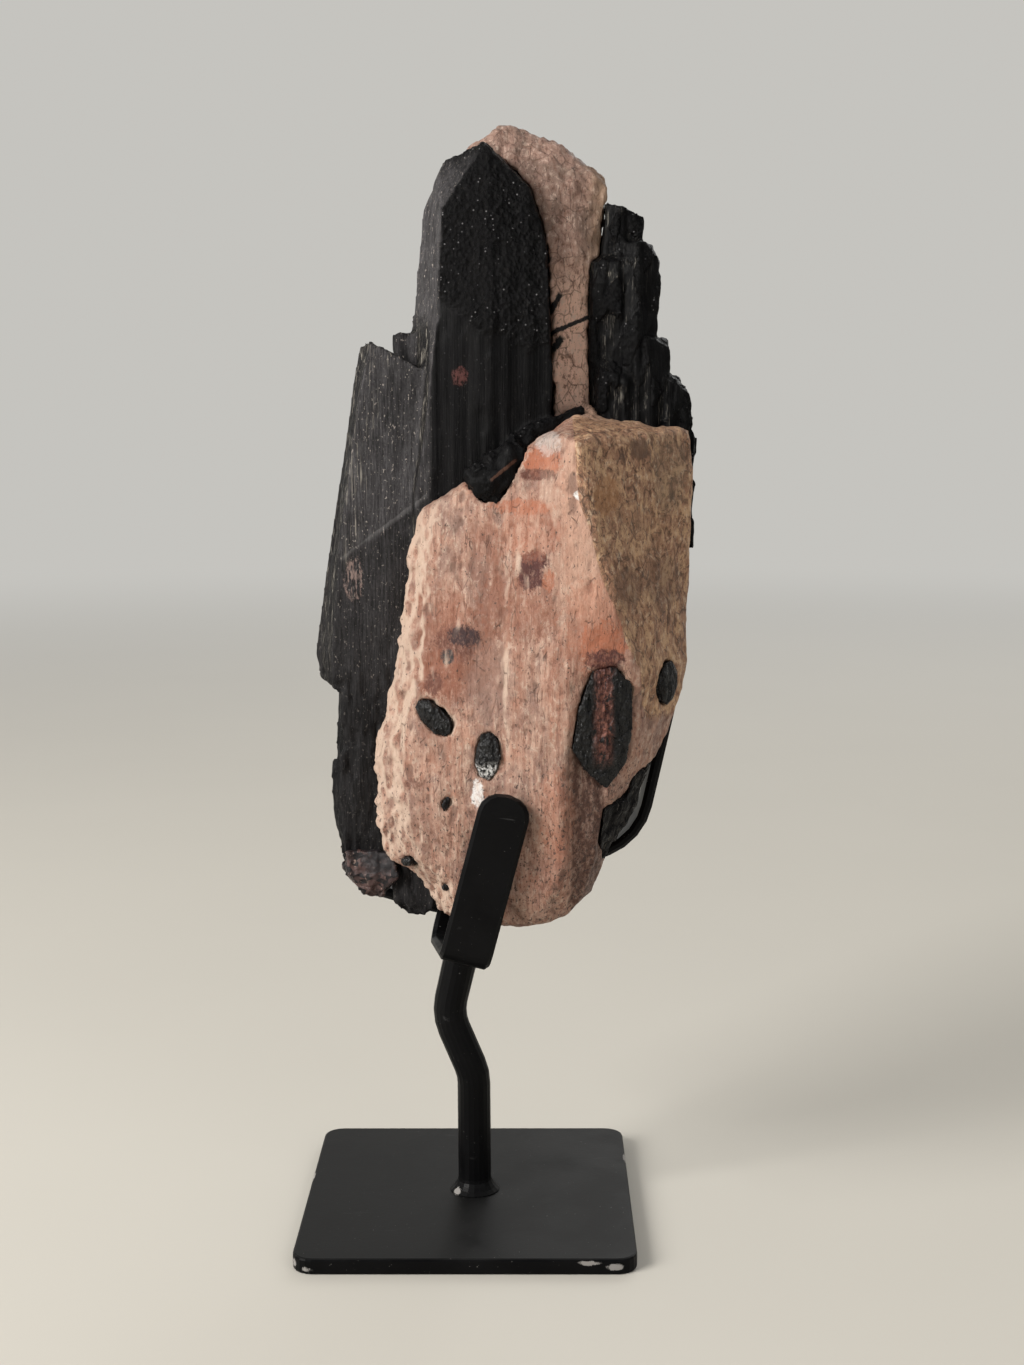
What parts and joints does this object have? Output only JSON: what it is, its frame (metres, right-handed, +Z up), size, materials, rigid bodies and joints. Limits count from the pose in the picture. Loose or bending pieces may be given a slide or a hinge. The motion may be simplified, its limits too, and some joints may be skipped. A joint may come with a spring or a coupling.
{
  "type": "mineral specimen on stand",
  "caption": "Black tourmaline crystals grown through a pink feldspar block, held upright by flat prongs on a bent rod over a square base plate.",
  "frame": {"origin": "middle of the base plate's underside, where the part rests", "axes": "+Z up, the side with the front hook faces -Y, +X is to the viewer's right"},
  "size_m": [0.119, 0.1, 0.3285],
  "materials": {
    "feldspar": "matte pink feldspar, brown on its shaded face",
    "tourmaline": "black, striated, satin to glossy",
    "mica": "purple brown flakes",
    "black_steel": "satin black paint"
  },
  "bodies": {
    "root": {"feldspar": "feldspar", "tourmaline_left": "tourmaline", "tourmaline_right": "tourmaline", "tourmaline_low_right": "tourmaline", "mica_cluster": "mica", "inclusion_left": "tourmaline", "inclusion_middle": "tourmaline", "inclusion_speck": "tourmaline", "inclusion_low_left": "tourmaline", "inclusion_low_middle": "tourmaline", "inclusion_large": "tourmaline", "inclusion_right": "tourmaline", "base_plate": "black_steel", "stem": "black_steel", "front_hook": "black_steel", "rear_cradle": "black_steel"}
  },
  "joints": []
}
